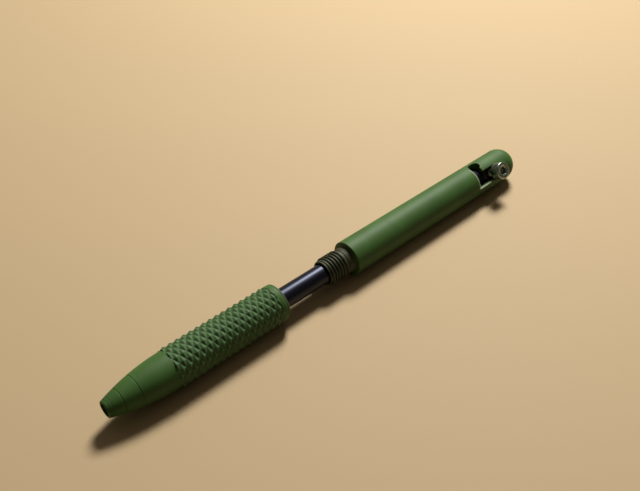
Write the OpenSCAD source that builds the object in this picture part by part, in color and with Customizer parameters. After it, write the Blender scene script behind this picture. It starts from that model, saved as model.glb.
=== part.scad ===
// Bolt action pen, opened up: the knurled front is unscrewed and drawn off the barrel along the refill.
// The pen lies along X with its nose towards -X. The origin is on the axis, at the barrel's front shoulder.
// Angles about the axis are measured from +Y towards +Z.

/* [Refill] */
// Diameter of the ink tube
refill_d = 6; // [5.6:0.1:6.6]
// Length of the refill, from the ball to the tube's rear end
refill_len = 110.6; // [106:0.2:116]
// Wall of the ink tube
tube_wall = 0.7; // [0.4:0.05:1]
// Diameter of the metal point
point_d = 2.3; // [2:0.05:2.6]
// Length of the metal point that stands out of its holder
point_len = 7.5; // [7.2:0.1:9]
// Length of the point's cone
cone_len = 2.6; // [2:0.1:4]
// Diameter of the writing ball
ball_d = 0.7; // [0.5:0.05:1]
// Diameter of the holder in front of the tube
holder_d = 3.4; // [3.2:0.1:3.8]
// Length of the holder in front of the tube
holder_len = 6.5; // [5:0.1:9]
// Length of the metal point inside its holder
point_grip = 4; // [2:0.5:5]
// Length of the holder inside the tube
holder_grip = 6; // [5:0.5:8]
// Length of the ink in the tube
ink_len = 62; // [20:1:70]
// Length of the grease plug behind the ink
follower_len = 6; // [3:0.5:10]
// Length of the plug in the tube's rear end
tail_plug_len = 4; // [3:0.5:8]
// Diameter of the air vent in the tail plug
vent_d = 1.2; // [0.8:0.1:2]

/* [Barrel] */
// Play of the refill in the barrel and the grip, on the radius
refill_play = 0.25; // [0.15:0.05:0.5]
// Height of the front shoulder over the thread's crest
shoulder_h = 1.02; // [0.8:0.02:2]
// Distance from the front shoulder to the slot's front edge
slot_front = 54.5; // [50:0.5:70]
// Distance from the bolt's rear stop to the centre of the rear dome
tail_len = 6.55; // [6:0.05:12]

/* [Screw joint] */
// Length of the threaded spigot in front of the shoulder
spigot_len = 9.4; // [9:0.1:14]
// Wall of the spigot under its thread
spigot_wall = 0.53; // [0.4:0.01:0.9]
// Pitch of the thread
thread_pitch = 1.05; // [0.9:0.05:1.3]
// Depth of the thread
thread_depth = 0.45; // [0.35:0.01:0.6]
// Length of the plain neck behind the thread
neck_len = 2.2; // [1.6:0.1:3]
// Depth of the neck under the thread's crest
neck_relief = 0.28; // [0.2:0.02:0.32]
// Play between the two threads, on the radius
thread_play = 0.12; // [0.1:0.01:0.15]
// Length of the ink tube that stays inside the grip's narrow bore when the front is drawn off
hold_len = 2.3; // [0.5:0.1:8]

/* [Grip] */
// Length of the curved nose
nose_len = 18.5; // [16:0.5:22]
// Diameter of the flat tip
tip_d = 4.6; // [4.2:0.1:5.4]
// Distance from the tip to the retracted writing ball
nose_inset = 2.05; // [1.2:0.05:2.2]
// Play of the metal point in the tip's opening, on the radius
point_play = 0.65; // [0.25:0.05:0.75]
// Length of the tip's narrow opening
throat_len = 2.4; // [1.5:0.1:2.6]
// Distance from the tip to the spring's seat
seat_depth = 4.5; // [4:0.1:6]
// Room in front of the ink tube when the front is closed and the bolt is forward
tube_room = 0.4; // [0.3:0.1:0.6]
// Distance from the tip to the front ring groove
front_groove = 4.1; // [3.5:0.1:6]
// Distance from the tip to the rear ring groove
rear_groove = 8.6; // [7:0.1:12]
// Depth of the ring grooves
groove_depth = 0.16; // [0.05:0.01:0.25]
// Wall of the grip between its thread and the knurl
socket_wall = 0.85; // [0.4:0.05:1]
// Depth of the knurl
knurl_depth = 0.55; // [0.3:0.05:0.8]
// Length of one knurl diamond along the pen
knurl_pitch = 2.054; // [1.6:0.002:3]
// Starts of the knurl in each direction
knurl_starts = 10; // [6:1:12]
// Angle of the first row of diamonds
knurl_angle = 92.2; // [0:0.1:360]
// Length of the plain band at the rear
band_len = 2.0; // [1:0.1:5]

/* [Bolt] */
// Diameter of the screw's shank
screw_d = 3; // [2.5:0.1:3.2]
// Length of the screw's shank
screw_len = 6; // [5:0.5:7]
// Diameter of the screw's head
head_d = 5.5; // [5:0.1:6.5]
// Height of the screw's head
head_h = 3; // [2:0.1:4]
// Width of the head's hex socket across its flats
hex_w = 2.5; // [2:0.1:3]
// Depth of the hex socket
hex_depth = 1.5; // [1:0.1:1.9]
// Play of the shank in the slot's arm and pocket, on the radius
slot_play = 0.1; // [0.05:0.01:0.2]
// Gap between the head and the barrel
head_gap = 0.2; // [0.1:0.05:0.5]
// Width of the slot's long channel
channel_w = 4.2; // [3.6:0.1:4.6]
// Angle of the slot's long channel
bolt_angle = 146; // [0:0.5:360]
// Travel of the bolt
bolt_travel = 6.4; // [5:0.1:6.6]
// Turn of the bolt from the channel to the locking pocket
lock_turn = 61; // [45:0.5:70]
// Radius of the finger's corner between the channel and the pocket
finger_round = 0.6; // [0.2:0.1:0.8]
// Depth of the locking pocket
pocket_depth = 1.1; // [0.6:0.1:2]
// Play of the plunger in the barrel, on the radius
plunger_play = 0.05; // [0.02:0.01:0.1]
// Length of the plunger in front of the screw
plunger_lead = 3.6; // [3:0.1:6]
// Length of the plunger behind the screw
plunger_tail = 3.8; // [3:0.1:5]

/* [Spring] */
// Diameter of the spring's wire
wire_d = 0.4; // [0.3:0.05:0.5]
// Coils of the spring
spring_coils = 9; // [6:1:11]
// Length of the spring when it is free
spring_len = 16; // [14:0.5:20]
// Play of the spring over the holder and in the nose, on the radius
spring_play = 0.25; // [0.15:0.05:0.4]

/* [Hidden] */
$fn = 96;
printed_green = "#5b7a45";
printed_black = "#26282a";
steel_grey = "#9a9d9f";
refill_navy = "#12151f";
// Gap between faces that rest against each other
seat_gap = 0.03;
// Gap around pieces that are held in one another
fit_gap = 0.02;
// Overlap of shapes that are fused or cut
lap = 0.1;

// Radii, from the refill outwards
refill_r = refill_d / 2;
ink_r = refill_r - tube_wall;
bore_r = refill_r + refill_play;
plunger_r = bore_r - plunger_play;
thread_root_r = bore_r + spigot_wall;
thread_r = thread_root_r + thread_depth;
neck_r = thread_r - neck_relief;
socket_r = thread_r + thread_play;
valley_r = socket_r + socket_wall;
knurl_r = valley_r + knurl_depth;
band_r = valley_r + knurl_depth / 2;
barrel_r = thread_r + shoulder_h;
point_r = point_d / 2;
ball_r = ball_d / 2;
holder_r = holder_d / 2;
throat_r = point_r + point_play;
spring_inner_r = holder_r + spring_play;
spring_r = spring_inner_r + wire_d / 2;
chamber_r = spring_inner_r + wire_d + spring_play;

// Places along the barrel
slot_w = screw_d + 2 * slot_play;
slot_mid = slot_front + slot_w / 2;
bolt_x = slot_mid + bolt_travel;
channel_end = bolt_x + slot_play - (channel_w - slot_w) / 2;
dome_x = bolt_x + tail_len;
plunger_front = bolt_x - plunger_lead;
plunger_rear = bolt_x + plunger_tail;
bore_rear = plunger_rear + slot_play;
pocket_angle = bolt_angle - lock_turn;
head_r = barrel_r + head_gap;
slot_cut = barrel_r + lap;

// Places along the refill
refill_rear = plunger_front - seat_gap;
refill_tip = refill_rear - refill_len;
holder_front = refill_tip + point_len;
tube_front = holder_front + holder_len;
ink_front = tube_front + holder_grip;
follower_front = ink_front + ink_len;

// Places along the grip, drawn off
socket_depth = spigot_len + 3 * seat_gap;
grip_rear = tube_front + hold_len + socket_depth;
open_gap = -grip_rear - seat_gap;
tip_x = refill_tip - nose_inset - open_gap;
bore_front = tube_front - open_gap - bolt_travel - tube_room;
nose_end = tip_x + nose_len;
band_front = grip_rear - band_len;
nose_arc_r = (nose_len * nose_len + pow(barrel_r - tip_d / 2, 2)) / (barrel_r - tip_d / 2) / 2;

// Thread ridges: each is narrower at its crest than at its root
ridge_root_w = 0.74 * thread_pitch;
ridge_crest_w = 0.19 * thread_pitch;
ridge_fade = 0.4;
ridge_steps = 24;
// Share of a pitch from the spigot's end to the first ridge's middle
lead_in = 0.46;
thread_start = -spigot_len + thread_pitch * lead_in;
thread_turns = floor((spigot_len - neck_len) / thread_pitch - lead_in);
inner_start = grip_rear - socket_depth + thread_pitch;
inner_turns = thread_turns - 1;
// The inside ridge lies half a pitch beside the same helix, so that the two mesh when the front is screwed on
inner_angle = 360 * (inner_start - thread_start) / thread_pitch - 180;

// Knurl grid: peaks and valleys alternate along and around
knurl_columns = 2 * knurl_starts;
knurl_step = knurl_pitch / 2;
knurl_rows = floor((band_front - nose_end) / knurl_step) + 1;
knurl_front = band_front - knurl_rows * knurl_step;
// The wall under the knurl stays inside the flats between its valleys
knurl_core_r = valley_r * cos(180 / knurl_columns) - lap;

// Spring: one unbroken tube wound from the seat in the nose
spring_rings = 8;
spring_sides = 6;
spring_front = tip_x + seat_depth + seat_gap + wire_d / 2;
spring_pitch = (spring_len - wire_d) / spring_coils;
spring_path = [for (i = [0 : spring_coils * spring_rings])
    around(spring_front + spring_pitch * i / spring_rings, spring_r, 360 * i / spring_rings)];
spring_gap = min([for (i = [0 : len(spring_path) - 1])
    for (k = [i + spring_rings / 2 : 1 : len(spring_path) - 1])
        norm(spring_path[i] - spring_path[k])]) - wire_d;
echo(spring_least_gap_mm = spring_gap);

function around(x, r, angle) = [x, r * cos(angle), r * sin(angle)];

module along_x() {
    rotate([0, 90, 0])
        children();
}

module rod(x0, x1, r) {
    translate([x0, 0, 0])
        along_x()
            cylinder(h = x1 - x0, r = r);
}

module cone(x0, r0, x1, r1) {
    translate([x0, 0, 0])
        along_x()
            cylinder(h = x1 - x0, r1 = r0, r2 = r1);
}

// Stands a child on the axis at x, with its +Z pointing outwards at the angle
module radial(x, angle) {
    translate([x, 0, 0])
        rotate([angle - 90, 0, 0])
            children();
}

// Closed skin over rings of points, each ring of the same count, with its two ends capped
function skin_faces(rings, sides) = concat(
    [for (i = [0 : rings - 2]) for (k = [0 : sides - 1]) for (f = [
        [i * sides + k, i * sides + (k + 1) % sides, (i + 1) * sides + (k + 1) % sides],
        [i * sides + k, (i + 1) * sides + (k + 1) % sides, (i + 1) * sides + k]]) f],
    [for (k = [1 : sides - 2]) [0, k + 1, k]],
    [for (k = [1 : sides - 2]) [0, k, k + 1] + (rings - 1) * sides * [1, 1, 1]]);

// One helical ridge, from a root inside the wall that carries it to a crest, faded at both ends
module thread_ridge(x_start, angle_start, turns, root_r, crest_r) {
    steps = turns * ridge_steps;
    fade_steps = ridge_fade * ridge_steps;
    base_r = root_r + lap * sign(root_r - crest_r);
    points = [for (i = [0 : steps])
        let (grow = max(0.1, min(1, i / fade_steps, (steps - i) / fade_steps)))
        let (top_r = root_r + (crest_r - root_r) * grow)
        let (top_w = ridge_root_w + (ridge_crest_w - ridge_root_w) * grow)
        let (x = x_start + thread_pitch * i / ridge_steps)
        let (angle = angle_start + 360 * i / ridge_steps)
        let (pair = crest_r > root_r ? 1 : -1)
        for (p = [[base_r, -ridge_root_w * pair], [top_r, -top_w * pair],
                  [top_r, top_w * pair], [base_r, ridge_root_w * pair]])
            around(x + p[1] / 2, p[0], angle)];
    polyhedron(points, skin_faces(steps + 1, 4));
}

module barrel() {
    color(printed_green)
    difference() {
        union() {
            rod(0, dome_x, barrel_r);
            translate([dome_x, 0, 0])
                sphere(r = barrel_r);
            rod(-neck_len, lap, neck_r);
            rod(-spigot_len, -neck_len + lap, thread_root_r);
            thread_ridge(thread_start, 0, thread_turns, thread_root_r, thread_r);
        }
        rod(-spigot_len - lap, bore_rear, bore_r);
        bolt_slot();
    }
}

// J-shaped slot: a long channel for the bolt, an arm across the top and a pocket that locks the bolt
module bolt_slot() {
    radial(slot_front, bolt_angle)
        translate([0, -channel_w / 2, 0])
            cube([channel_end - slot_front, channel_w, slot_cut]);
    radial(channel_end, bolt_angle)
        cylinder(h = slot_cut, d = channel_w);
    for (x = [slot_mid, slot_mid + pocket_depth])
        radial(x, pocket_angle)
            cylinder(h = slot_cut, d = slot_w);
    radial(slot_mid, pocket_angle)
        translate([0, -slot_w / 2, 0])
            cube([pocket_depth, slot_w, slot_cut]);
    slot_arm();
    finger_corner();
}

module slot_arm() {
    translate([slot_front, 0, 0])
        along_x()
            rotate(pocket_angle + 90)
                rotate_extrude(angle = lock_turn)
                    square([slot_cut, slot_w]);
}

// Cut that rounds the finger where the arm turns into the channel
module finger_corner() {
    radial(slot_front + slot_w, bolt_angle)
        translate([0, channel_w / 2, 0])
            difference() {
                translate([-lap, -lap, 0])
                    cube([finger_round + lap, finger_round + lap, slot_cut]);
                translate([finger_round, finger_round, -lap])
                    cylinder(h = slot_cut + 2 * lap, r = finger_round);
            }
}

module bolt_plunger() {
    color(printed_black)
    difference() {
        rod(plunger_front, plunger_rear, plunger_r);
        radial(bolt_x, bolt_angle)
            translate([0, 0, head_r - screw_len - fit_gap])
                cylinder(h = screw_len, d = screw_d + 2 * fit_gap);
    }
}

module bolt_screw() {
    color(steel_grey)
    radial(bolt_x, bolt_angle)
        translate([0, 0, head_r]) {
            translate([0, 0, -screw_len])
                cylinder(h = screw_len + lap, d = screw_d);
            difference() {
                cylinder(h = head_h, d = head_d);
                translate([0, 0, head_h - hex_depth])
                    cylinder(h = hex_depth + lap, d = hex_w / cos(30), $fn = 6);
            }
        }
}

// Half outline of the grip: the nose is one arc that runs into the straight wall behind it
module grip_outline() {
    intersection() {
        translate([barrel_r - nose_arc_r, nose_end])
            circle(r = nose_arc_r, $fn = 360);
        translate([0, tip_x])
            square([barrel_r, nose_len]);
    }
    translate([0, nose_end - lap])
        square([knurl_core_r, grip_rear - nose_end + lap]);
    translate([0, band_front])
        square([band_r, band_len]);
}

module grip_section() {
    color(printed_green)
    difference() {
        union() {
            difference() {
                union() {
                    along_x()
                        rotate_extrude()
                            grip_outline();
                    knurl();
                }
                grip_bores();
            }
            thread_ridge(inner_start, inner_angle, inner_turns, socket_r, thread_root_r + thread_play);
        }
        for (x = [front_groove, rear_groove])
            ring_groove(tip_x + x);
    }
}

module grip_bores() {
    rod(tip_x - lap, tip_x + throat_len + lap, throat_r);
    rod(tip_x + throat_len, tip_x + seat_depth + lap, spring_inner_r);
    rod(tip_x + seat_depth, bore_front + lap, chamber_r);
    rod(bore_front, grip_rear - socket_depth + lap, bore_r);
    rod(grip_rear - socket_depth, grip_rear + lap, socket_r);
}

function nose_r(x) = barrel_r - nose_arc_r + sqrt(pow(nose_arc_r, 2) - pow(nose_end - x, 2));

// Fine V groove around the nose
module ring_groove(x) {
    along_x()
        rotate_extrude()
            translate([nose_r(x), x])
                rotate(45)
                    square(groove_depth * sqrt(2), center = true);
}

// Band of four-sided pyramids between two sets of crossing helical grooves
module knurl() {
    points = [for (i = [0 : knurl_rows])
        for (j = [0 : knurl_columns - 1])
            let (peak = i > 0 && i < knurl_rows && (i + j) % 2 == 1)
            around(knurl_front + i * knurl_step, peak ? knurl_r : valley_r,
                   knurl_angle + 360 * j / knurl_columns)];
    faces = [for (i = [0 : knurl_rows - 1])
        for (j = [0 : knurl_columns - 1])
            let (a = i * knurl_columns + j, b = i * knurl_columns + (j + 1) % knurl_columns)
            let (c = b + knurl_columns, e = a + knurl_columns)
            for (f = (i + j) % 2 == 1 ? [[a, e, b], [b, e, c]] : [[a, c, b], [a, e, c]]) f];
    last = knurl_rows * knurl_columns;
    front_cap = [for (k = [1 : knurl_columns - 2]) [0, k, k + 1]];
    rear_cap = [for (k = [1 : knurl_columns - 2]) [last, last + k + 1, last + k]];
    polyhedron(points, concat(faces, front_cap, rear_cap));
}

// Compression spring behind the nose's seat
module return_spring() {
    points = [for (i = [0 : len(spring_path) - 1])
        for (k = [0 : spring_sides - 1])
            let (side = 360 * k / spring_sides)
            around(spring_path[i][0] + wire_d / 2 * sin(side), spring_r + wire_d / 2 * cos(side),
                   360 * i / spring_rings)];
    color(steel_grey)
        polyhedron(points, skin_faces(len(spring_path), spring_sides));
}

module refill_tube() {
    color(refill_navy)
    difference() {
        rod(tube_front, refill_rear, refill_r);
        rod(tube_front - lap, refill_rear + lap, ink_r);
    }
}

module refill_tail_plug() {
    color(printed_black)
    difference() {
        rod(refill_rear - tail_plug_len, refill_rear, ink_r - fit_gap);
        rod(refill_rear - tail_plug_len - lap, refill_rear + lap, vent_d / 2);
    }
}

module ink_column() {
    color(refill_navy)
        rod(ink_front, follower_front, ink_r - fit_gap);
}

module ink_follower() {
    color("#d9c98e")
        rod(follower_front, follower_front + follower_len, ink_r - fit_gap);
}

module tip_holder() {
    color(printed_black)
    difference() {
        union() {
            rod(holder_front, tube_front, holder_r);
            rod(tube_front - lap, ink_front, ink_r - fit_gap);
        }
        rod(holder_front - lap, holder_front + point_grip, point_r + fit_gap);
        rod(holder_front, ink_front + lap, vent_d / 2);
    }
}

module metal_point() {
    color(steel_grey)
    difference() {
        union() {
            cone(refill_tip + ball_r, ball_r + lap, refill_tip + cone_len, point_r);
            rod(refill_tip + cone_len, holder_front + point_grip - fit_gap, point_r);
        }
        translate([refill_tip + ball_r, 0, 0])
            sphere(r = ball_r + fit_gap);
        rod(refill_tip + ball_d, holder_front + point_grip, ball_r / 2);
    }
}

module writing_ball() {
    color(steel_grey)
    translate([refill_tip + ball_r, 0, 0])
        sphere(r = ball_r);
}

barrel();
bolt_plunger();
bolt_screw();
grip_section();
return_spring();
refill_tube();
refill_tail_plug();
ink_column();
ink_follower();
tip_holder();
metal_point();
writing_ball();
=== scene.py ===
import math

import bmesh
import bpy
from mathutils import Matrix, Vector


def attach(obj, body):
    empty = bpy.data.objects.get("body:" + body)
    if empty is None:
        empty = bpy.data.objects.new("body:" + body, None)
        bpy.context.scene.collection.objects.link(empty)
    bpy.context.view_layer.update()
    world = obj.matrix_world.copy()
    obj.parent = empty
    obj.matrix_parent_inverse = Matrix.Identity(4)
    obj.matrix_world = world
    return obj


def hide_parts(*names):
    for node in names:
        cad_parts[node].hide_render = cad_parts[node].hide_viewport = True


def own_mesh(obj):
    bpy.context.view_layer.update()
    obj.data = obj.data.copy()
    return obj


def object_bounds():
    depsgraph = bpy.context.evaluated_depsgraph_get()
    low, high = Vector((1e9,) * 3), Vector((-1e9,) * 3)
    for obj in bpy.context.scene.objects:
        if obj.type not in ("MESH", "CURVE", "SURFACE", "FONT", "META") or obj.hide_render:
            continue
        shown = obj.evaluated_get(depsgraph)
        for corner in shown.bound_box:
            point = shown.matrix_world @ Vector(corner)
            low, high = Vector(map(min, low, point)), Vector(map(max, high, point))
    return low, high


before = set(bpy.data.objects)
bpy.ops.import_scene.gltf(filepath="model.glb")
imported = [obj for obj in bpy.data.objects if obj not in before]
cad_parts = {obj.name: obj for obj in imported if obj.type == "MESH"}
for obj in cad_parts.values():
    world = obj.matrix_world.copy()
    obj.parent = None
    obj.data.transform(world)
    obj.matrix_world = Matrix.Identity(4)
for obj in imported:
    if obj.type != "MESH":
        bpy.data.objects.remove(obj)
cad_box = [list(corner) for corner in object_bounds()]

# Camera: it looks down on the pen from the nose's side, at the angle and distance of the photograph,
# with a lens of 45 mm on a 36 mm wide picture.
camera_way = Vector((0.5084, 0.5575, -0.6564))
camera_data = bpy.data.cameras.new("pen_camera")
camera_data.lens = 45.0
camera_data.sensor_fit = "HORIZONTAL"
camera_data.sensor_width = 36.0
camera_data.clip_start = 0.01
camera = bpy.data.objects.new("pen_camera", camera_data)
bpy.context.scene.collection.objects.link(camera)
camera.location = (-0.1212, -0.1215, 0.15425)
camera.rotation_euler = camera_way.to_track_quat("-Z", "Y").to_euler()
bpy.context.scene.camera = camera
bpy.context.scene.view_settings.view_transform = "Standard"

# Barrel: one printed tube with a domed rear, a J-shaped slot for the bolt and a spigot in front.
# It is printed standing up in green PLA, so fine layer lines run round it.
# Lengths are written in mm, and mm turns them into metres. Angles run from +Y towards +Z.
mm = 0.001
barrel_r = 5.25
bore_r = 3.25
bore_rear = 66.4
bore_lead = 0.15
dome_x = 69.05
dome_steps = 20
spigot_front = -9.4
spigot_ease = 0.12
thread_root_r = 3.78
neck_r = 3.95
neck_len = 2.2
neck_ramp = 0.1
neck_fillet = 0.08
shoulder_ease = 0.2
shoulder_mid = 0.06
darker_brown_from = -0.05
slot_front = 54.5
slot_ring = slot_front - 1
barrel_sides = 160


def linear(hex_value):
    """A colour written as sRGB hex, as linear RGBA."""
    parts = [int(hex_value[k:k + 2], 16) / 255 for k in (1, 3, 5)]
    return [c / 12.92 if c <= 0.04045 else ((c + 0.055) / 1.055) ** 2.4 for c in parts] + [1.0]


def add(tree, kind, inputs=None, **settings):
    """Adds one node. Each input takes a value or what feeds it, and settings are the node's properties."""
    node = tree.nodes.new(kind)
    for key, value in settings.items():
        setattr(node, key, value)
    for key, value in (inputs or {}).items():
        if isinstance(value, bpy.types.NodeSocket):
            tree.links.new(value, node.inputs[key])
        else:
            node.inputs[key].default_value = value
    return node


def new_material(name):
    """A material with an empty tree, and the tree."""
    material = bpy.data.materials.new(name)
    material.use_nodes = True
    material.node_tree.nodes.clear()
    return material, material.node_tree


def place_in(tree):
    """The place on a piece, in metres."""
    return add(tree, "ShaderNodeTexCoord").outputs["Object"]


def noise(tree, place, inputs):
    """Uneven values between 0 and 1 over a piece."""
    return add(tree, "ShaderNodeTexNoise", {"Vector": place, **inputs}).outputs["Fac"]


def bands(tree, place, gap, inputs):
    """Bands across the pen's axis, a gap in mm apart."""
    rate = 2 * math.pi / 20 / (gap * mm)
    wave = add(tree, "ShaderNodeTexWave", {"Vector": place, "Scale": rate, **inputs},
               wave_type="BANDS", bands_direction="X")
    return wave.outputs


def toned(tree, share, deep, light, start=0.0, end=1.0):
    """A colour between two hex values, as a share runs from start to end."""
    ramp = add(tree, "ShaderNodeValToRGB", {"Fac": share})
    for element, position, tone in zip(ramp.color_ramp.elements, (start, end), (deep, light)):
        element.position = position
        element.color = linear(tone)
    return ramp.outputs["Color"]


def ranged(tree, value, low, high, start=0.0, end=1.0, **settings):
    """A number that goes from low to high, as a value runs from start to end."""
    scaled = add(tree, "ShaderNodeMapRange", {"Value": value, "From Min": start, "From Max": end,
                                              "To Min": low, "To Max": high}, **settings)
    return scaled.outputs["Result"]


def bumped(tree, height, strength, depth, under=None):
    """A normal that follows a height, up to a depth in mm, and lies over another one if it is given."""
    bump = add(tree, "ShaderNodeBump", {"Height": height, "Strength": strength, "Distance": depth * mm})
    if under is not None:
        tree.links.new(under, bump.inputs["Normal"])
    return bump.outputs["Normal"]


def surface(tree, inputs):
    """Ends a material in one shader."""
    shader = add(tree, "ShaderNodeBsdfPrincipled", inputs)
    add(tree, "ShaderNodeOutputMaterial", {"Surface": shader.outputs["BSDF"]})


def printed_pla(name, deep, light):
    """Satin printed plastic: layer lines soften the highlight, and the tone wanders along the print."""
    material, tree = new_material(name)
    place = place_in(tree)
    layers = bands(tree, place, 0.4, {"Distortion": 0.6, "Detail": 2.0, "Detail Scale": 0.4})
    mottle = noise(tree, place, {"Scale": 160.0, "Detail": 6.0})
    grain = noise(tree, place, {"Scale": 3500.0, "Detail": 3.0})
    tone = toned(tree, mottle, deep, light, 0.3, 0.7)
    lined = add(tree, "ShaderNodeMix", {"Factor": 0.06, "A": tone, "B": layers["Color"]},
                data_type="RGBA", blend_type="OVERLAY")
    lines = bumped(tree, layers["Fac"], 0.12, 0.04)
    surface(tree, {"Base Color": lined.outputs["Result"], "Roughness": ranged(tree, grain, 0.54, 0.64),
                   "IOR": 1.42, "Normal": bumped(tree, grain, 0.15, 0.04, lines)})
    return material


# Green PLA: the pen's own colour.
# Darker brown PLA: darker and browner, on the spigot and on the two thread ridges.
# Edge highlight PLA: paler, a painted highlight on the slot's chamfer and on the front's rear lip, edges
# that catch the window's light.
green_pla = printed_pla("printed_green_pla", "#3d6128", "#476f32")
darker_brown_pla = printed_pla("darker_brown_green_pla", "#3a3f29", "#4d5238")
edge_highlight_pla = printed_pla("edge_highlight_green_pla", "#84926f", "#9ba688")


def closed_mesh(name, verts, faces, smooth):
    """A mesh in metres with its faces turned outwards."""
    mesh = bpy.data.meshes.new(name)
    mesh.from_pydata(verts, [], faces)
    shape = bmesh.new()
    shape.from_mesh(mesh)
    bmesh.ops.recalc_face_normals(shape, faces=shape.faces)
    for face in shape.faces:
        face.smooth = smooth
    shape.to_mesh(mesh)
    shape.free()
    return mesh


def turned(name, outline, sides, start_angle=0.0):
    """A closed outline of (x, radius) in mm, turned round the pen's axis.

    A third value in a point gives its ring that many flats.
    """
    verts, rings, faces = [], [], []
    for x, r, *flats in outline:
        ring = []
        for k in range(sides if r > 0 else 1):
            a = math.radians(start_angle) + 2 * math.pi * k / sides
            across = math.cos(a % (2 * math.pi / flats[0]) - math.pi / flats[0]) if flats else 1.0
            ring.append(len(verts))
            verts.append((x * mm, r / across * math.cos(a) * mm, r / across * math.sin(a) * mm))
        rings.append(ring)
    for one, two in zip(rings, rings[1:] + rings[:1]):
        if len(one) == 1 and len(two) == 1:
            continue
        for k in range(sides):
            a, b = one[k % len(one)], one[(k + 1) % len(one)]
            c, d = two[(k + 1) % len(two)], two[k % len(two)]
            faces.append([v for i, v in enumerate((a, b, c, d)) if v not in (a, b, c, d)[:i]])
    return closed_mesh(name, verts, faces, smooth=True)


def add_piece(name, mesh, *materials):
    """An object of a mesh, with its materials in order."""
    mesh.materials.clear()
    for material in materials:
        mesh.materials.append(material)
    piece = bpy.data.objects.new(name, mesh)
    bpy.context.scene.collection.objects.link(piece)
    return piece


dome = [(dome_x + barrel_r * math.sin(t), barrel_r * math.cos(t))
        for t in (math.radians(90 * k / dome_steps) for k in range(1, dome_steps))]
barrel_outline = [(spigot_front + bore_lead, bore_r), (spigot_front, bore_r + spigot_ease),
                  (spigot_front, thread_root_r - spigot_ease), (spigot_front + spigot_ease, thread_root_r),
                  (-neck_len, thread_root_r), (-neck_len + neck_ramp, neck_r), (-neck_fillet, neck_r),
                  (0, neck_r + neck_fillet), (0, barrel_r - shoulder_ease),
                  (shoulder_mid, barrel_r - shoulder_mid), (shoulder_ease, barrel_r), (slot_ring, barrel_r),
                  (dome_x, barrel_r)]
barrel_outline += dome
barrel_outline += [(dome_x + barrel_r, 0), (bore_rear, 0), (bore_rear, bore_r), (slot_ring, bore_r)]
barrel_mesh = turned("barrel_shell", barrel_outline, barrel_sides)
barrel = add_piece("barrel_shell", barrel_mesh, green_pla, darker_brown_pla, edge_highlight_pla)

# The slot is a channel along the barrel for the bolt, an arm across its front end and a pocket there
slot_w = 3.2
slot_rear = slot_front + slot_w
channel_w = 4.2
bolt_x = 62.5
bolt_angle = 146.0
pocket_angle = 85.0
pocket_depth = 1.1
slot_play = 0.1
finger_round = 0.6
cut_overlap = 0.2
cut_inner_r = 1.0
cut_outer_r = 8.0
arm_steps = 12
flare_ease = 0.45
flare_rises = (-0.5, 1.5)
lip_reach = 0.7
lip_depth = 0.6
lip_past = 28.0
lip_steps = 20
slot_soft = 0.22


def stepped(start, end, steps):
    """Angles in equal steps between two angles in degrees, as radians."""
    return [math.radians(start + (end - start) * k / steps) for k in range(steps + 1)]


def bow(x, w, r, start, end, steps=14):
    """Points of an arc in a slot's outline."""
    return [(x + r * math.cos(t), w + r * math.sin(t)) for t in stepped(start, end, steps)]


def swept(section, start, end, steps):
    """Rings of an (x, radius) section, swept round the axis between two angles."""
    return [[(x, r * math.cos(t), r * math.sin(t)) for x, r in section] for t in stepped(start, end, steps)]


def lofted(name, rings, angle, smooth):
    """A cutter through rings of (x, across, outwards) in metres, turned so that outwards is at an angle."""
    around = Matrix.Rotation(math.radians(angle - 90), 4, "X")
    verts = [around @ Vector(point) for ring in rings for point in ring]
    n = len(rings[0])
    faces = [list(range(n)), [len(verts) - 1 - k for k in range(n)]]
    for one in range(0, len(verts) - n, n):
        faces += [[one + k, one + (k + 1) % n, one + n + (k + 1) % n, one + n + k] for k in range(n)]
    return add_piece(name, closed_mesh(name, verts, faces, smooth))


def straight(name, outline, angle):
    """A cutter of an (x, across) outline in mm, run straight out from the axis at an angle."""
    rings = [[(x * mm, w * mm, r * mm) for x, w in outline] for r in (cut_inner_r, cut_outer_r)]
    return lofted(name, rings, angle, smooth=False)


half = slot_w / 2
wide = channel_w / 2
slot_mid = slot_front + half
channel_end = bolt_x + slot_play + half - wide
channel = [(slot_front, -wide), (slot_front, wide)] + bow(channel_end, 0, wide, 90, -90)
# The finger's corner lies where the arm turns into the channel, and is rounded
corner_x = slot_rear + finger_round
corner = [(slot_rear - cut_overlap, wide - cut_overlap), (slot_rear - cut_overlap, wide + finger_round)]
corner += bow(corner_x, wide + finger_round, finger_round, 180, 270, 8) + [(corner_x, wide - cut_overlap)]
pocket = bow(slot_mid, 0, half, 90, 270) + bow(slot_mid + pocket_depth, 0, half, -90, 90)
arm = [(slot_front * mm, cut_inner_r * mm), (slot_rear * mm, cut_inner_r * mm),
       (slot_rear * mm, cut_outer_r * mm), (slot_front * mm, cut_outer_r * mm)]
arm_rings = swept(arm, pocket_angle, bolt_angle, arm_steps)
# The slot's outer edge is chamfered along the channel and along the front, where it takes the light
flare_foot = math.sqrt(barrel_r ** 2 - (wide + flare_ease) ** 2) - flare_ease
flare_rings = []
for rise in flare_rises:
    reach = wide + rise
    ring = [(slot_front, -reach), (slot_front, reach)] + bow(channel_end, 0, reach, 90, -90)
    flare_rings.append([Vector((x, w, flare_foot + rise)) * mm for x, w in ring])
channel_flare = lofted("slot_flare", flare_rings, bolt_angle, smooth=True)
lip = [(slot_front + lip_reach, barrel_r - lip_depth), (slot_front + lip_reach, barrel_r + lip_depth),
       (slot_front - 3 * lip_reach, barrel_r + lip_depth)]
lip_rings = [[Vector(point) * mm for point in ring]
             for ring in swept(lip, pocket_angle, bolt_angle + lip_past, lip_steps)]
front_lip = lofted("slot_lip", lip_rings, 90.0, smooth=True)
# The chamfer's and the lip's faces take the paler PLA, a painted highlight where these edges catch the
# light
highlight_index = barrel_mesh.materials.find(edge_highlight_pla.name)
for flared in (channel_flare, front_lip):
    flared.data.polygons.foreach_set("material_index", [highlight_index] * len(flared.data.polygons))
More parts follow.
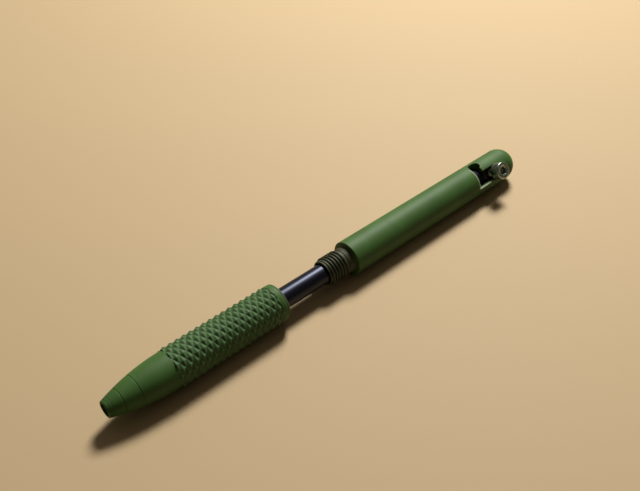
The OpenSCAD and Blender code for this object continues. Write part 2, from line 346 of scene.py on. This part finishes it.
cutters = [straight("slot_channel", channel, bolt_angle), straight("slot_corner", corner, bolt_angle),
           straight("slot_pocket", pocket, pocket_angle),
           lofted("slot_arm", arm_rings, 90.0, smooth=False), channel_flare, front_lip]


def cut_by(piece, cutter):
    """Has a piece cut by a cutter when it is finished."""
    cut = piece.modifiers.new(cutter.name, "BOOLEAN")
    cut.operation = "DIFFERENCE"
    cut.solver = "EXACT"
    cut.object = cutter


def soften(piece, width, segments, sharpest):
    """Has the edges that turn more than an angle in degrees rounded when a piece is finished."""
    bevel = piece.modifiers.new("soft_edges", "BEVEL")
    bevel.width = width * mm
    bevel.segments = segments
    bevel.limit_method = "ANGLE"
    bevel.angle_limit = math.radians(sharpest)


def finished(piece):
    """The piece with its modifiers applied to its mesh, and with no modifier left."""
    bpy.context.view_layer.update()
    graph = bpy.context.evaluated_depsgraph_get()
    mesh = bpy.data.meshes.new_from_object(piece.evaluated_get(graph), depsgraph=graph)
    piece.modifiers.clear()
    piece.data = mesh
    return piece


def evened(piece, keep_sharp=False):
    """The finished piece, with normals that follow its larger faces."""
    even = piece.modifiers.new("even_normals", "WEIGHTED_NORMAL")
    even.keep_sharp = keep_sharp
    return finished(piece)


for cutter in cutters:
    cut_by(barrel, cutter)
soften(barrel, slot_soft, segments=3, sharpest=50)
evened(barrel, keep_sharp=True)
for cutter in cutters:
    bpy.data.objects.remove(cutter)
for face in barrel.data.polygons:
    if face.center.x < darker_brown_from * mm:
        face.material_index = barrel.data.materials.find(darker_brown_pla.name)
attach(barrel, "barrel")
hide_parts("barrel")

# Spigot thread: one ridge wound round the spigot, printed with the barrel, that the front screws on to.
# Its crest is narrow and its ends fade into the spigot.
thread_pitch = 1.05
thread_start = spigot_front + 0.46 * thread_pitch
thread_turns = 6
thread_r = 4.23
fade_turns = 0.4
fade_least = 0.15
ridge_root_w = 0.777
ridge_crest_w = 0.2
ridge_sink = 0.08


def tree_with(name, sizes):
    """An empty tree with a named input for each size, the inputs' identifiers, and their sockets."""
    tree = bpy.data.node_groups.new(name, "GeometryNodeTree")
    tree.interface.new_socket(name="Geometry", in_out="OUTPUT", socket_type="NodeSocketGeometry")
    ids = {}
    for size in sizes:
        socket = tree.interface.new_socket(name=size, in_out="INPUT", socket_type="NodeSocketFloat")
        ids[size] = socket.identifier
    return tree, ids, add(tree, "NodeGroupInput").outputs


def calc(tree, operation, *values):
    """The result of one sum on numbers or sockets."""
    return add(tree, "ShaderNodeMath", dict(enumerate(values)), operation=operation).outputs[0]


def moved(tree, geometry, inputs):
    """Geometry that is turned or shifted."""
    return add(tree, "GeometryNodeTransform", {"Geometry": geometry, **inputs}).outputs[0]


def dressed_end(tree, geometry):
    """Ends a tree in real geometry with a material, and returns the node that takes the material."""
    real = add(tree, "GeometryNodeRealizeInstances", {"Geometry": geometry})
    dress = add(tree, "GeometryNodeSetMaterial", {"Geometry": real.outputs[0]})
    add(tree, "NodeGroupOutput", {"Geometry": dress.outputs[0]})
    return dress


def wind(tree, sizes, profile, scale):
    """The last part of a wound shape: a profile along a right-handed helix, laid along the pen."""
    rise = calc(tree, "MULTIPLY", sizes["Turns"], sizes["Pitch"])
    helix = add(tree, "GeometryNodeCurveSpiral", {
        "Resolution": 64, "Rotations": sizes["Turns"], "Start Radius": sizes["Radius"],
        "End Radius": sizes["Radius"], "Height": rise, "Reverse": True})
    upright = add(tree, "GeometryNodeSetCurveNormal", {"Curve": helix.outputs[0]}, mode="Z_UP")
    wound = add(tree, "GeometryNodeCurveToMesh", {"Curve": upright.outputs[0], "Profile Curve": profile,
                                                  "Scale": scale, "Fill Caps": True})
    laid = moved(tree, wound.outputs[0], {"Rotation": (math.pi / 2, 0, math.pi / 2)})
    turn = add(tree, "ShaderNodeCombineXYZ", {"X": sizes["Start angle"]})
    shift = add(tree, "ShaderNodeCombineXYZ", {"X": sizes["Front"]})
    set_down = moved(tree, laid, {"Translation": shift.outputs[0], "Rotation": turn.outputs[0]})
    smooth = add(tree, "GeometryNodeSetShadeSmooth", {"Geometry": set_down})
    return dressed_end(tree, smooth.outputs[0])


def grown(name, tree, ids, dress, sizes, material):
    """A plain mesh piece from a tree, with the sizes set on the tree's inputs."""
    dress.inputs["Material"].default_value = material
    piece = add_piece(name, bpy.data.meshes.new(name), material)
    grow = piece.modifiers.new(name, "NODES")
    grow.node_group = tree
    for size, value in sizes.items():
        grow[ids[size]] = float(value)
    finished(piece)
    piece.data.materials.clear()
    piece.data.materials.append(material)
    piece.data.polygons.foreach_set("material_index", [0] * len(piece.data.polygons))
    return piece


ridge, ridge_ids, sizes = tree_with("wound_ridge", (
    "Turns", "Pitch", "Radius", "Front", "Start angle", "Height", "Root width", "Crest width", "Crest turn",
    "Fade turns"))
outline = add(ridge, "GeometryNodeCurvePrimitiveQuadrilateral", {
    "Height": sizes["Height"], "Bottom Width": sizes["Root width"], "Top Width": sizes["Crest width"],
    "Offset": 0.0}, mode="TRAPEZOID")
lift = add(ridge, "ShaderNodeCombineXYZ", {"Y": calc(ridge, "MULTIPLY", sizes["Height"], 0.5)})
rooted = moved(ridge, outline.outputs[0], {"Translation": lift.outputs[0]})
crest_turn = add(ridge, "ShaderNodeCombineXYZ", {"Z": sizes["Crest turn"]})
facing = moved(ridge, rooted, {"Rotation": crest_turn.outputs[0]})
along = add(ridge, "GeometryNodeSplineParameter").outputs["Factor"]
turns_in = calc(ridge, "MULTIPLY", calc(ridge, "PINGPONG", along, 0.5), sizes["Turns"])
fade_share = calc(ridge, "DIVIDE", turns_in, sizes["Fade turns"])
fade = add(ridge, "ShaderNodeClamp", {"Value": fade_share, "Min": fade_least, "Max": 1.0})
ridge_dress = wind(ridge, sizes, facing, fade.outputs[0])

barrel_thread = grown("barrel_thread", ridge, ridge_ids, ridge_dress, {
    "Turns": thread_turns, "Pitch": thread_pitch * mm, "Radius": (thread_root_r - ridge_sink) * mm,
    "Front": thread_start * mm, "Start angle": 0.0, "Height": (thread_r - thread_root_r + ridge_sink) * mm,
    "Root width": ridge_root_w * mm, "Crest width": ridge_crest_w * mm, "Crest turn": -math.pi / 2,
    "Fade turns": fade_turns}, darker_brown_pla)
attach(barrel_thread, "barrel")

# Bolt plunger: a dark printed slug that slides in the barrel, carries the screw and pushes the refill.
# Its ends are chamfered so that it doesn't catch in the bore.
plunger_r = 3.2
plunger_front = 58.9
plunger_rear = 66.3
plunger_ease = 0.4
front_mid_x = 0.08
front_mid_r = 0.2
plunger_sides = 96
screw_hole_r = 1.52
# Black PLA: matte, with a fine uneven grain.
black_pla, tree = new_material("printed_black_pla")
specks = noise(tree, place_in(tree), {"Scale": 2500.0, "Detail": 4.0})
surface(tree, {"Base Color": toned(tree, specks, "#141517", "#222427"), "IOR": 1.46,
               "Roughness": ranged(tree, specks, 0.45, 0.65), "Normal": bumped(tree, specks, 0.2, 0.03)})

plunger_outline = [(plunger_front, 0), (plunger_front, plunger_r - plunger_ease),
                   (plunger_front + front_mid_x, plunger_r - front_mid_r),
                   (plunger_front + plunger_ease, plunger_r), (plunger_rear - plunger_ease, plunger_r),
                   (plunger_rear, plunger_r - plunger_ease), (plunger_rear, 0)]
plunger = add_piece("plunger", turned("plunger", plunger_outline, plunger_sides), black_pla)
# The hole goes round in steps of 8 degrees
screw_hole = straight("screw_hole", bow(bolt_x, 0, screw_hole_r, 0, 352, 44), bolt_angle)
cut_by(plunger, screw_hole)
evened(plunger)
bpy.data.objects.remove(screw_hole)
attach(plunger, "bolt")
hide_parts("bolt_plunger")

# Bolt screw: a 3 mm socket head cap screw, turned and cold headed in steel, that is the bolt's handle.
# Its shank passes through the slot and threads into the plunger.
head_r = 2.75
head_under = 5.45
head_top = head_under + 3.0
head_ease = 0.12
head_round = 0.38
shank_end = head_under - 6.0
shank_core_r = 1.25
shank_ease = 0.25
shank_fillet_r = 1.4
mouth_r = 1.72
mouth_inner_r = 1.62
mouth_depth = 0.05
hex_half = 1.25
hex_sides = 6
hex_top = 0.22
hex_depth = 1.5
hex_cone = 0.35
screw_sides = 96
screw_soft = 0.05
# Plain steel: grey and lightly oiled, with a few dull patches from handling. Its grey is tinted green, a
# painted reflection of the green barrel.
screw_steel, tree = new_material("oiled_steel")
patches = noise(tree, place_in(tree), {"Scale": 900.0, "Detail": 5.0})
surface(tree, {"Base Color": toned(tree, patches, "#8c998e", "#b2beb3", 0.35, 0.7), "Metallic": 1.0,
               "Roughness": ranged(tree, patches, 0.3, 0.42), "Normal": bumped(tree, patches, 0.08, 0.03)})

screw_outline = [(shank_end, 0), (shank_end, shank_core_r - shank_ease),
                 (shank_end + shank_ease, shank_core_r), (head_under - head_ease, shank_core_r),
                 (head_under, shank_fillet_r), (head_under, head_r - head_ease),
                 (head_under + head_ease, head_r)]
round_x = head_top - head_round
round_r = head_r - head_round
screw_outline += [(round_x + head_round * math.sin(t), round_r + head_round * math.cos(t))
                  for t in (math.radians(18 * k) for k in range(6))]
screw_outline += [(head_top, mouth_r), (head_top - mouth_depth, mouth_inner_r),
                  (head_top - hex_top, hex_half, hex_sides), (head_top - hex_depth, hex_half, hex_sides),
                  (head_top - hex_depth - hex_cone, 0)]
outward = Matrix.Rotation(math.radians(bolt_angle), 4, "X") @ Matrix.Rotation(math.radians(90), 4, "Z")
outward = Matrix.Translation((bolt_x * mm, 0, 0)) @ outward
screw_mesh = turned("screw", screw_outline, screw_sides)
screw_mesh.transform(outward)
screw = add_piece("screw", screw_mesh, screw_steel)
soften(screw, screw_soft, segments=2, sharpest=40)
evened(screw)
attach(screw, "bolt")
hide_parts("bolt_screw")

screw_thread = grown("screw_thread", ridge, ridge_ids, ridge_dress, {
    "Turns": 10.5, "Pitch": 0.5 * mm, "Radius": 1.2 * mm, "Front": (shank_end + 0.3) * mm,
    "Start angle": 0.0, "Height": 0.3 * mm, "Root width": 0.45 * mm, "Crest width": 0.08 * mm,
    "Crest turn": -math.pi / 2, "Fade turns": 0.5}, screw_steel)
screw_thread.data.transform(outward)
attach(screw_thread, "bolt")

# Refill tube: an extruded polypropylene tube, dark navy from the ink in it and glossy.
# It slides in the barrel and in the front, and its rear end rests on the plunger.
refill_r = 3.0
ink_r = 2.3
tube_front = -37.73
refill_rear = 58.87
tube_ease = 0.15
tube_mid = 0.05
tube_sides = 128
dull_from = 48.0
dull_to = 53.0
# Inked polypropylene: a gloss over a nearly black blue, with faint lengthwise drawing marks.
# The rear end is dull, where the plunger and the slot's dust rub it.
navy_tube, tree = new_material("inked_polypropylene")
place = place_in(tree)
stretch = add(tree, "ShaderNodeMapping", {"Vector": place, "Scale": (40.0, 900.0, 900.0)})
drawn = noise(tree, stretch.outputs["Vector"], {"Scale": 1.0, "Detail": 3.0})
tube_x = add(tree, "ShaderNodeSeparateXYZ", {"Vector": place}).outputs["X"]
dull_end = ranged(tree, tube_x, 0.0, 0.4, dull_from * mm, dull_to * mm)
surface(tree, {"Base Color": toned(tree, drawn, "#080a12", "#10131f"), "IOR": 1.5,
               "Specular Tint": linear("#c2cdf6"), "Normal": bumped(tree, drawn, 0.05, 0.03),
               "Roughness": calc(tree, "ADD", ranged(tree, drawn, 0.3, 0.42), dull_end)})

tube_outline = [(tube_front, ink_r), (tube_front, refill_r - tube_ease),
                (tube_front + tube_mid, refill_r - tube_mid), (tube_front + tube_ease, refill_r),
                (refill_rear - tube_ease, refill_r), (refill_rear - tube_mid, refill_r - tube_mid),
                (refill_rear, refill_r - tube_ease), (refill_rear, ink_r)]
tube = evened(add_piece("ink_tube", turned("ink_tube", tube_outline, tube_sides), navy_tube))
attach(tube, "refill")
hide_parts("refill_tube")


# Pieces inside the tube: a vented tail plug, the ink and the grease behind it, and the holder in front that
# carries the metal point. They keep their CAD shapes. The plug and the holder are as black as the plunger.
def dress_node(node, material):
    """Gives its material to a CAD piece that is shown as it is."""
    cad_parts[node].data.materials.clear()
    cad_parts[node].data.materials.append(material)


# Gel ink and grease: wet and smooth, with slow swirls.
for node, name, deep, light in (("ink_column", "gel_ink", "#05060c", "#0b0d18"),
                                ("ink_follower", "follower_grease", "#c9b574", "#e0d09a")):
    wet, tree = new_material(name)
    swirl = noise(tree, place_in(tree), {"Scale": 300.0, "Distortion": 1.5})
    surface(tree, {"Base Color": toned(tree, swirl, deep, light), "Roughness": 0.12})
    dress_node(node, wet)
for node in ("refill_tail_plug", "tip_holder"):
    dress_node(node, black_pla)

# Metal point and ball: a turned steel point, closed round a ball that rolls in it.
# The point is pressed into its holder.
ball_x = -51.38
cup_r = 0.372
point_rear = -40.25
point_r = 1.15
point_ease = 0.15
cone_rear = -49.13
cone_ease_x = 0.17
cone_ease_r = 0.02
crimp = [(-51.1, 0.55), (-51.3, 0.47), (ball_x, 0.43)]
point_sides = 64
# Polished steel: bright, with turning rings 0.1 mm apart that show only close up.
bright_steel, tree = new_material("polished_steel")
turning = bands(tree, place_in(tree), 0.1, {"Distortion": 0.3})["Fac"]
surface(tree, {"Base Color": toned(tree, turning, "#b9bbb9", "#d0d1ce"), "Metallic": 1.0,
               "Roughness": ranged(tree, turning, 0.12, 0.22)})

point_outline = [(ball_x + cup_r * math.sin(t), cup_r * math.cos(t))
                 for t in (math.radians(15 * k) for k in range(6))]
point_outline += [(ball_x + cup_r, 0), (point_rear, 0), (point_rear, point_r - point_ease),
                  (point_rear - point_ease, point_r), (cone_rear, point_r),
                  (cone_rear - cone_ease_x, point_r - cone_ease_r)] + crimp
point = evened(add_piece("metal_tip", turned("metal_tip", point_outline, point_sides), bright_steel))
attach(point, "refill")
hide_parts("metal_point")
dress_node("writing_ball", bright_steel)

# Return spring: a compression spring of drawn steel wire behind the nose's seat, that pushes the
# refill back. It shortens as the front is screwed on.
seat_x = -75.19
seat_gap = 0.03
wire_r = 0.2
spring_r = 2.15
spring_coils = 9
spring_len = 16.0
spring_pitch = (spring_len - 2 * wire_r) / spring_coils
wire, wire_ids, sizes = tree_with("wound_wire", (
    "Turns", "Pitch", "Radius", "Front", "Start angle", "Wire radius"))
ring = add(wire, "GeometryNodeCurvePrimitiveCircle", {"Resolution": 12, "Radius": sizes["Wire radius"]})
wire_dress = wind(wire, sizes, ring.outputs[0], 1.0)
spring = grown("spring_wire", wire, wire_ids, wire_dress, {
    "Turns": spring_coils, "Pitch": spring_pitch * mm, "Radius": spring_r * mm,
    "Front": (seat_x + seat_gap + wire_r) * mm, "Start angle": 0.0,
    "Wire radius": wire_r * mm}, bright_steel)
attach(spring, "spring")
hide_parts("return_spring")
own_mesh(spring)

# Front: one printed piece in the same green PLA, with an ogive nose, a diamond knurl and a plain rear
# band. A thread inside its rear end screws on to the barrel's spigot.
tip_x = -79.69
nose_end = -61.19
nose_arc_r = 59.3
band_front = -27.94
valley_r = 5.2
knurl_depth = 0.55
band_r = valley_r + knurl_depth / 2
knurl_starts = 10
knurl_pitch = 2.054
knurl_front = -61.831
knurl_angle = 92.2
knurl_wear = 0.04
knurl_blunt = 0.44
knurl_run_in = 0.3
grip_sides = 160
cell_steps = 8
end_steps = 5
knurl_step = knurl_pitch / 2 / cell_steps
skin_front = knurl_front - end_steps * knurl_step
skin_rear = band_front + end_steps * knurl_step
skin_rows = round((skin_rear - skin_front) / knurl_step)
# Greyer knurl PLA: the knurl is a little greyer than the rest.
greyer_knurl_pla = printed_pla("greyer_knurl_green_pla", "#496a3d", "#537448")

# The knurl is a skin round the axis: two sets of helical V grooves cross, and what stands between them
# is a four-sided pyramid with a worn peak. Its ends run into the nose and into the band.
knurl, knurl_ids, sizes = tree_with("knurled_skin", (
    "Front", "Length", "First crossing", "Starts", "Pitch", "Start angle", "Valley radius", "Depth",
    "Body radius", "Nose end", "Nose arc", "Band front", "Band rise", "Wear", "Blunt at", "Run-in"))
skin = add(knurl, "GeometryNodeMeshGrid", {"Size X": 1.0, "Size Y": 1.0, "Vertices X": skin_rows + 1,
                                           "Vertices Y": grip_sides + 1})
at = add(knurl, "GeometryNodeInputPosition")
flat = add(knurl, "ShaderNodeSeparateXYZ", {"Vector": at.outputs[0]}).outputs
share_x = calc(knurl, "ADD", flat["X"], 0.5)
share_a = calc(knurl, "ADD", flat["Y"], 0.5)
skin_x = calc(knurl, "MULTIPLY_ADD", share_x, sizes["Length"], sizes["Front"])
# Radius on the knurl, which grows with the distance from the nearer groove
from_crossing = calc(knurl, "SUBTRACT", skin_x, sizes["First crossing"])
cells_x = calc(knurl, "DIVIDE", from_crossing, sizes["Pitch"])
cells_a = calc(knurl, "MULTIPLY", share_a, sizes["Starts"])
right_v = calc(knurl, "PINGPONG", calc(knurl, "ADD", cells_a, cells_x), 0.5)
left_v = calc(knurl, "PINGPONG", calc(knurl, "SUBTRACT", cells_a, cells_x), 0.5)
lower = calc(knurl, "SMOOTH_MIN", right_v, left_v, sizes["Wear"])
blunt = calc(knurl, "SMOOTH_MIN", lower, sizes["Blunt at"], sizes["Wear"])
twice = calc(knurl, "MULTIPLY", blunt, 2.0)
knurled = calc(knurl, "MULTIPLY_ADD", twice, sizes["Depth"], sizes["Valley radius"])
# Radius at the plain ends: the nose's arc in front and the band behind
on_nose = calc(knurl, "MAXIMUM", calc(knurl, "SUBTRACT", sizes["Nose end"], skin_x), 0.0)
sag = calc(knurl, "DIVIDE", calc(knurl, "POWER", on_nose, 2.0), sizes["Nose arc"])
plain = calc(knurl, "SUBTRACT", sizes["Body radius"], calc(knurl, "MULTIPLY", sag, 0.5))
aft_start = calc(knurl, "SUBTRACT", sizes["Band front"], sizes["Run-in"])
on_band = calc(knurl, "GREATER_THAN", skin_x, aft_start)
plain_ends = calc(knurl, "MULTIPLY_ADD", on_band, sizes["Band rise"], plain)
# Run-in between the two
fore_end = calc(knurl, "ADD", sizes["Nose end"], sizes["Run-in"])
fore = ranged(knurl, skin_x, 0.0, 1.0, sizes["Nose end"], fore_end, interpolation_type="SMOOTHSTEP")
aft = ranged(knurl, skin_x, 1.0, 0.0, aft_start, sizes["Band front"], interpolation_type="SMOOTHSTEP")
run_in = calc(knurl, "MULTIPLY", fore, aft)
radius = add(knurl, "ShaderNodeMix", {"Factor": run_in, "A": plain_ends, "B": knurled}, data_type="FLOAT")
# The skin is wrapped round the axis and sewn along its seam
angle = calc(knurl, "MULTIPLY_ADD", share_a, 2 * math.pi, sizes["Start angle"])
skin_y = calc(knurl, "MULTIPLY", radius.outputs[0], calc(knurl, "COSINE", angle))
skin_z = calc(knurl, "MULTIPLY", radius.outputs[0], calc(knurl, "SINE", angle))
wrapped = add(knurl, "ShaderNodeCombineXYZ", {"X": skin_x, "Y": skin_y, "Z": skin_z})
bent = add(knurl, "GeometryNodeSetPosition", {"Geometry": skin.outputs["Mesh"],
                                              "Position": wrapped.outputs[0]})
sewn = add(knurl, "GeometryNodeMergeByDistance", {"Geometry": bent.outputs[0], "Distance": 1e-6})
knurl_dress = dressed_end(knurl, sewn.outputs[0])
grip = grown("grip_shell", knurl, knurl_ids, knurl_dress, {
    "Front": skin_front * mm, "Length": (skin_rear - skin_front) * mm, "First crossing": knurl_front * mm,
    "Starts": knurl_starts, "Pitch": knurl_pitch * mm, "Start angle": math.radians(knurl_angle),
    "Valley radius": valley_r * mm, "Depth": knurl_depth * mm, "Body radius": barrel_r * mm,
    "Nose end": nose_end * mm, "Nose arc": nose_arc_r * mm, "Band front": band_front * mm,
    "Band rise": (band_r - barrel_r) * mm, "Wear": knurl_wear, "Blunt at": knurl_blunt,
    "Run-in": knurl_run_in * mm}, greyer_knurl_pla)

# The nose is smooth, with two thin ring grooves, faint rings at the tip and a chamfered mouth.
# Its cuts are given as distance from the tip and depth
tip_r = 2.3
tip_ease = 0.1
tip_mid_x = 0.04
tip_mid_r = 0.03
nose_cuts = {4.1: 0.16, 8.6: 0.16, 0.7: 0.1, 1.5: 0.08}
cut_edge = 0.03
cut_room = 0.05
nose_first = 0.25
nose_step = 0.4
nose_rings = 44
nose_room = 0.1


def nose_r(x):
    """The nose's radius at a place along the pen."""
    return barrel_r - nose_arc_r + math.sqrt(nose_arc_r ** 2 - max(0.0, nose_end - x) ** 2)


nose_places = {round(nose_first + nose_step * k, 3) for k in range(nose_rings)}
for cut_at, depth in nose_cuts.items():
    nose_places = {u for u in nose_places if abs(u - cut_at) > 2 * depth + cut_room}
    nose_places |= {cut_at - depth - cut_edge, cut_at - depth, cut_at, cut_at + depth,
                    cut_at + depth + cut_edge}
nose_outline = [(tip_x + tip_mid_x, tip_r - tip_mid_r)]
for u in sorted(nose_places):
    if tip_x + u < skin_front - nose_room:
        nose_outline.append((tip_x + u, nose_r(tip_x + u) - nose_cuts.get(u, 0.0)))
nose_outline.append((skin_front, barrel_r - (nose_end - skin_front) ** 2 / nose_arc_r / 2))

# The band curves in to a thin lip, the first layer of the print. The bores follow, from the rear to the tip
grip_rear = -25.94
rim_curve = [(1.1, 0.0), (0.7, 0.05), (0.4, 0.13), (0.25, 0.22)]
rim_front = grip_rear - 0.2
rim_r = band_r - 0.08
rim_ease = 0.05
rim_skin = 0.1
socket_front = -35.43
socket_r = 4.35
socket_ease = 0.15
grip_bore_r = 3.25
grip_bore_lead = 0.2
bore_front = -70.44
chamber_r = 2.6
seat_r = 1.95
throat_end = tip_x + 2.4
throat_r = 1.8
mouth_mid = 0.03
band_outline = [(skin_rear, band_r)] + [(grip_rear - back, band_r - down) for back, down in rim_curve]
band_outline += [(rim_front, rim_r - rim_ease), (rim_front + rim_ease, rim_r),
                 (grip_rear - rim_ease, rim_r), (grip_rear, rim_r - rim_ease),
                 (grip_rear, socket_r + socket_ease), (grip_rear - socket_ease, socket_r),
                 (socket_front, socket_r), (socket_front, grip_bore_r + grip_bore_lead),
                 (socket_front - grip_bore_lead, grip_bore_r), (bore_front, grip_bore_r),
                 (bore_front, chamber_r), (seat_x, chamber_r), (seat_x, seat_r), (throat_end, seat_r),
                 (throat_end, throat_r), (tip_x + tip_ease, throat_r),
                 (tip_x + mouth_mid, throat_r + mouth_mid), (tip_x, throat_r + tip_ease),
                 (tip_x, tip_r - tip_ease)]
# Both are turned, opened where they meet the knurl and each other, and joined to it
seam_reach = 0.01
sharpest_smooth = 55
shell = bmesh.new()
shell.from_mesh(grip.data)
for part_name, part_outline in (("nose", nose_outline), ("band", band_outline)):
    part = turned(part_name, part_outline, grip_sides, knurl_angle)
    loose = bmesh.new()
    loose.from_mesh(part)
    ends = {round(part_outline[0][0], 4), round(part_outline[-1][0], 4)}
    caps = [f for f in loose.faces if {round(v.co.x / mm, 4) for v in f.verts} == ends]
    bmesh.ops.delete(loose, geom=caps, context="FACES")
    loose.to_mesh(part)
    loose.free()
    shell.from_mesh(part)
seams = (skin_front, skin_rear)
seam_verts = [v for v in shell.verts if min(abs(v.co.x / mm - seam) for seam in seams) < seam_reach]
bmesh.ops.remove_doubles(shell, verts=seam_verts, dist=seam_reach * mm)
tip_edge = [e for e in shell.edges if e.is_boundary]
bmesh.ops.bridge_loops(shell, edges=tip_edge)
bmesh.ops.recalc_face_normals(shell, faces=shell.faces)
# The knurl keeps its flat facets
for face in shell.faces:
    middle = face.calc_center_median()
    on_knurl = nose_end < middle.x / mm < band_front and middle.yz.length > valley_r * mm
    face.smooth = not on_knurl
for edge in shell.edges:
    edge.smooth = len(edge.link_faces) == 2 and edge.calc_face_angle() < math.radians(sharpest_smooth)
shell.to_mesh(grip.data)
shell.free()
# The lip is painted paler as a highlight, and the nose and the band are as green as the barrel
grip.data.materials.append(edge_highlight_pla)
grip.data.materials.append(green_pla)
for face in grip.data.polygons:
    if face.center.x > rim_front * mm and face.center.yz.length > (rim_r - rim_skin) * mm:
        face.material_index = grip.data.materials.find(edge_highlight_pla.name)
    elif not nose_end * mm < face.center.x < band_front * mm:
        face.material_index = grip.data.materials.find(green_pla.name)
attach(grip, "grip")
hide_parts("grip_section")

# Inside thread: one ridge in the front's rear end, printed with it. It lies half a pitch beside the
# spigot's helix, so that the two mesh when the front is screwed on.
inner_turns = 5
inner_gap = 0.12
inner_start = socket_front + thread_pitch
inner_turn = (inner_start - thread_start) / thread_pitch - 0.5
grip_thread = grown("grip_thread", ridge, ridge_ids, ridge_dress, {
    "Turns": inner_turns, "Pitch": thread_pitch * mm, "Radius": (socket_r + ridge_sink) * mm,
    "Front": inner_start * mm, "Start angle": 2 * math.pi * (inner_turn % 1.0),
    "Height": (socket_r - thread_root_r - inner_gap + ridge_sink) * mm, "Root width": ridge_root_w * mm,
    "Crest width": ridge_crest_w * mm, "Crest turn": math.pi / 2, "Fade turns": fade_turns}, darker_brown_pla)
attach(grip_thread, "grip")

# Floor: a plain pale table top. The pen lies on the knurl's rear end and on the barrel's rear end,
# so the floor slopes a little against the pen's axis.
floor_reach = 3
floor_z = cad_box[0][2]
floor_slope = (-barrel_r * mm - floor_z) / ((dome_x - band_front) * mm)


def seen_directly(tree):
    """1 for what the camera or a shiny surface looks at, and 0 for what lights the rest."""
    rays = add(tree, "ShaderNodeLightPath").outputs
    return calc(tree, "MAXIMUM", rays["Is Camera Ray"], rays["Is Glossy Ray"])


# Pale table top: it looks pale to the camera and in shiny pieces, and throws less light back on the pen.
pale_top, tree = new_material("pale_table_top")
top_tone = add(tree, "ShaderNodeMix", {"Factor": seen_directly(tree), "A": linear("#8a795c"),
                                       "B": linear("#cbb28b")}, data_type="RGBA")
surface(tree, {"Base Color": top_tone.outputs["Result"], "Roughness": 0.7})

floor_corners = []
for x, y in ((-1, -1), (1, -1), (1, 1), (-1, 1)):
    height = floor_z + floor_slope * (x * floor_reach - band_front * mm)
    floor_corners.append((x * floor_reach, y * floor_reach, height))
floor_mesh = bpy.data.meshes.new("floor")
floor_mesh.from_pydata(floor_corners, [], [(0, 1, 2, 3)])
floor = add_piece("floor", floor_mesh, pale_top)

# Light: one soft window behind the pen and a room around it. The room looks even to the camera and in
# shiny pieces. It lights the rest only a little, and most from the window's side.
room_level = 0.08
room_least = 0.005
room_most = 0.19
window = bpy.data.lights.new("window", "AREA")
window.shape = "RECTANGLE"
window.size = 0.2
window.size_y = 0.2
window.energy = 6.7
window.color = (1.0, 0.97, 0.9)
window_object = bpy.data.objects.new("window", window)
bpy.context.scene.collection.objects.link(window_object)
window_object.location = (0.406, 0.269, 0.570)
window_object.rotation_euler = (-window_object.location).to_track_quat("-Z", "Y").to_euler()
room = bpy.data.worlds.new("room")
bpy.context.scene.world = room
room.use_nodes = True
tree = room.node_tree
way = add(tree, "ShaderNodeTexCoord").outputs["Generated"]
to_window = add(tree, "ShaderNodeVectorMath", {0: way, 1: window_object.location.normalized()},
                operation="DOT_PRODUCT").outputs["Value"]
window_side = ranged(tree, to_window, room_least, room_most)
level = add(tree, "ShaderNodeMix", {"Factor": seen_directly(tree), "A": window_side, "B": room_level},
            data_type="FLOAT")
backdrop = tree.nodes["Background"]
backdrop.inputs["Color"].default_value = linear("#fbe9cf")
tree.links.new(level.outputs["Result"], backdrop.inputs["Strength"])
